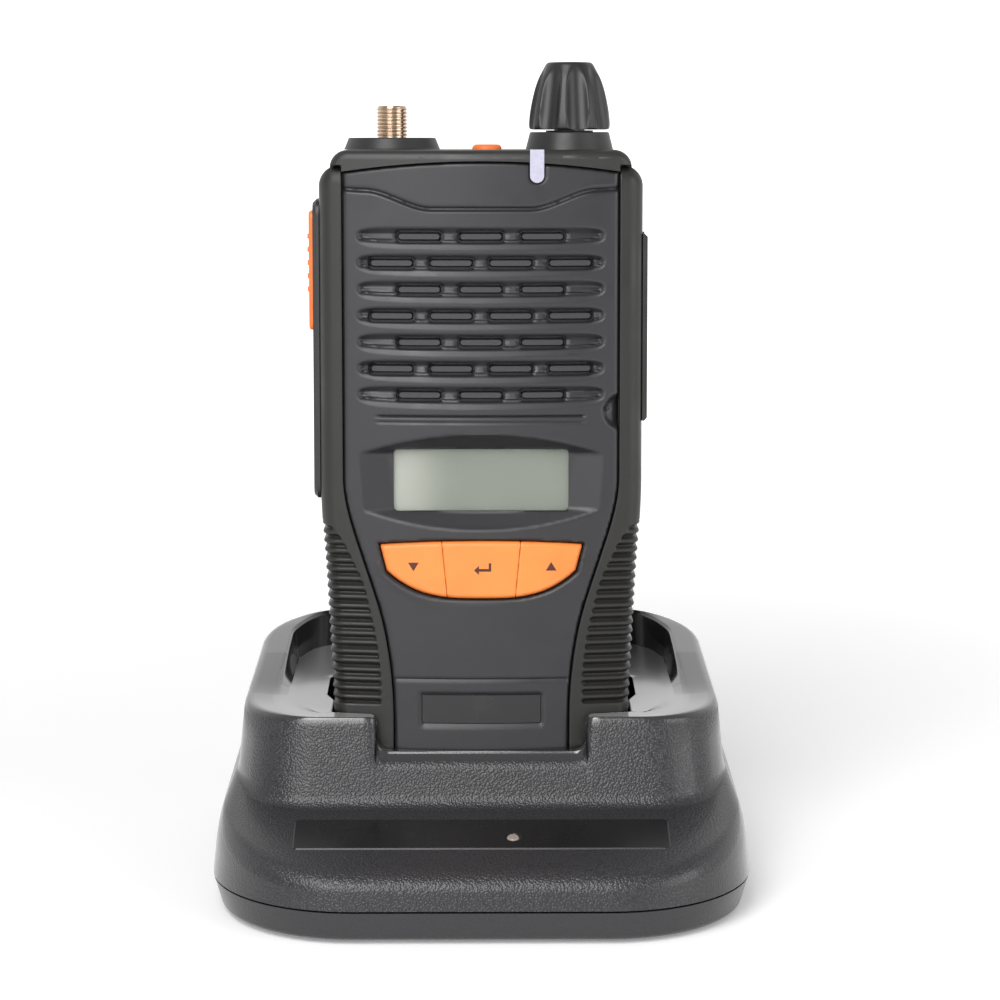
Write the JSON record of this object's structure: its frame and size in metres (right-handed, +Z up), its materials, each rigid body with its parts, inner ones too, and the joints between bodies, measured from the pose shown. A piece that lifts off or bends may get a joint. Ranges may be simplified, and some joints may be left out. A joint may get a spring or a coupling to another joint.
{
  "type": "handheld marine radio in desktop charger",
  "caption": "Handheld marine VHF radio with display, front keys, push-to-talk button, volume knob and belt clip, standing in its desktop charging cradle.",
  "frame": {"origin": "on the table, under the middle of the charger's base", "axes": "+Z up, -Y towards the display side, +X to the right when looking at the display"},
  "size_m": [0.1046, 0.0986, 0.1618],
  "materials": {
    "charger_shell": "coarse spark-eroded black plastic",
    "foot_rubber": "soft black rubber",
    "zinc_screw": "zinc-plated steel",
    "label_film": "satin black film",
    "clear_lens": "translucent red lens",
    "circuit_board": "green glass-epoxy board",
    "black_nylon": "moulded black nylon",
    "contact_plating": "gold-plated brass",
    "spring_steel": "spring steel",
    "socket_plastic": "black moulded socket",
    "grip_rubber": "soft dark moulded grip",
    "housing_plastic": "satin dark grey plastic",
    "cover_plastic": "satin dark grey plastic",
    "cloth": "black speaker cloth",
    "seal_rubber": "grey silicone",
    "light_guide": "frosted clear light guide",
    "speaker_metal": "black painted steel",
    "speaker_paper": "treated paper cone",
    "shield_tin": "tinned steel",
    "window_clear": "clear window",
    "lcd_glass": "grey-green liquid crystal panel",
    "key_orange": "orange keys",
    "ptt_orange": "orange soft push button",
    "button_black": "black soft buttons and flap",
    "trim_black": "black trim",
    "connector_ptfe": "white insulator",
    "shaft_metal": "turned aluminium",
    "knob_plastic": "black knob",
    "cell_foil": "foil pouch cells"
  },
  "bodies": {
    "charger": {"charger_top_shell": "charger_shell", "charger_base_shell": "charger_shell", "charger_feet": "foot_rubber", "charger_screws": "zinc_screw", "charger_label_plate": "label_film", "charge_led_lens": "clear_lens", "charger_circuit_board": "circuit_board", "contact_block": "black_nylon", "pin_spring_left": "spring_steel", "pin_spring_right": "spring_steel", "dc_inlet": "socket_plastic"},
    "radio": {"antenna_collar": "trim_black", "antenna_connector": "contact_plating", "antenna_contact": "contact_plating", "antenna_insulator": "connector_ptfe", "battery_case": "housing_plastic", "battery_cells": "cell_foil", "battery_contacts": "contact_plating", "battery_cover": "housing_plastic", "belt_clip_bracket": "black_nylon", "clip_pin": "spring_steel", "clip_spring": "spring_steel", "earphone_socket": "socket_plastic", "front_cover": "cover_plastic", "front_label": "label_film", "grille_cloth": "cloth", "housing_screws": "zinc_screw", "housing_seal": "seal_rubber", "keypad_mat": "seal_rubber", "knob_collar": "trim_black", "lcd_panel": "lcd_glass", "lcd_window": "window_clear", "led_light_pipe": "light_guide", "main_circuit_board": "circuit_board", "main_housing": "housing_plastic", "microphone": "shield_tin", "microphone_socket": "socket_plastic", "ptt_bezel": "trim_black", "push_switches": "shield_tin", "rf_shield": "shield_tin", "side_grip_left": "grip_rubber", "side_grip_right": "grip_rubber", "speaker_cone": "speaker_paper", "speaker_frame": "speaker_metal", "speaker_magnet": "speaker_metal", "volume_control": "shield_tin"},
    "charge_pin_left": {"charge_pin_left": "contact_plating"},
    "charge_pin_right": {"charge_pin_right": "contact_plating"},
    "knob": {"volume_knob": "knob_plastic", "volume_shaft": "shaft_metal"},
    "ptt_button": {"ptt_button": "ptt_orange"},
    "side_key_upper": {"side_key_upper": "button_black"},
    "side_key_lower": {"side_key_lower": "button_black"},
    "top_button": {"top_button": "ptt_orange"},
    "key_down": {"key_down": "key_orange"},
    "key_enter": {"key_enter": "key_orange"},
    "key_up": {"key_up": "key_orange"},
    "jack_cover": {"jack_cover": "button_black"},
    "battery_latch": {"battery_latch": "black_nylon"},
    "belt_clip": {"belt_clip": "black_nylon"}
  },
  "joints": [
    {"name": "radio_lift", "type": "slide", "parent": "charger", "child": "radio", "axis": [0, 0.0698, 0.9976], "range_m": [0, 0.045]},
    {"name": "charge_pin_left_press", "type": "slide", "parent": "charger", "child": "charge_pin_left", "axis": [0, -0.0698, -0.9976], "range_m": [0, 0.0012], "stiffness_N_per_m": 400, "deforming": ["pin_spring_left"]},
    {"name": "charge_pin_right_press", "type": "slide", "parent": "charger", "child": "charge_pin_right", "axis": [0, -0.0698, -0.9976], "range_m": [0, 0.0012], "stiffness_N_per_m": 400, "deforming": ["pin_spring_right"]},
    {"name": "volume_turn", "type": "hinge", "parent": "radio", "child": "knob", "pos_m": [0.0174, 0.00828, 0.15057], "axis": [0, 0.0698, 0.9976], "range_deg": [0, 270]},
    {"name": "ptt_press", "type": "slide", "parent": "radio", "child": "ptt_button", "axis": [1, 0, 0], "range_m": [0, 0.0012], "stiffness_N_per_m": 900},
    {"name": "side_key_upper_press", "type": "slide", "parent": "radio", "child": "side_key_upper", "axis": [1, 0, 0], "range_m": [0, 0.0006], "stiffness_N_per_m": 1200},
    {"name": "side_key_lower_press", "type": "slide", "parent": "radio", "child": "side_key_lower", "axis": [1, 0, 0], "range_m": [0, 0.0006], "stiffness_N_per_m": 1200},
    {"name": "top_button_press", "type": "slide", "parent": "radio", "child": "top_button", "axis": [0, -0.0698, -0.9976], "range_m": [0, 0.0008], "stiffness_N_per_m": 900},
    {"name": "key_down_press", "type": "slide", "parent": "radio", "child": "key_down", "axis": [0, 0.9976, -0.0698], "range_m": [0, 0.0006], "stiffness_N_per_m": 1000},
    {"name": "key_enter_press", "type": "slide", "parent": "radio", "child": "key_enter", "axis": [0, 0.9976, -0.0698], "range_m": [0, 0.0006], "stiffness_N_per_m": 1000},
    {"name": "key_up_press", "type": "slide", "parent": "radio", "child": "key_up", "axis": [0, 0.9976, -0.0698], "range_m": [0, 0.0006], "stiffness_N_per_m": 1000},
    {"name": "jack_cover_swing", "type": "hinge", "parent": "radio", "child": "jack_cover", "pos_m": [0.0316, 0.00838, 0.11046], "axis": [0, 0.0698, 0.9976], "range_deg": [0, 100]},
    {"name": "battery_latch_slide", "type": "slide", "parent": "radio", "child": "battery_latch", "axis": [0, 0.0698, 0.9976], "range_m": [0, 0.003], "stiffness_N_per_m": 300, "springref_m": -0.0005},
    {"name": "belt_clip_open", "type": "hinge", "parent": "radio", "child": "belt_clip", "pos_m": [0, 0.03121, 0.10285], "axis": [1, 0, 0], "range_deg": [0, 16], "stiffness_Nm_per_rad": 0.4, "springref_deg": -8.59}
  ]
}
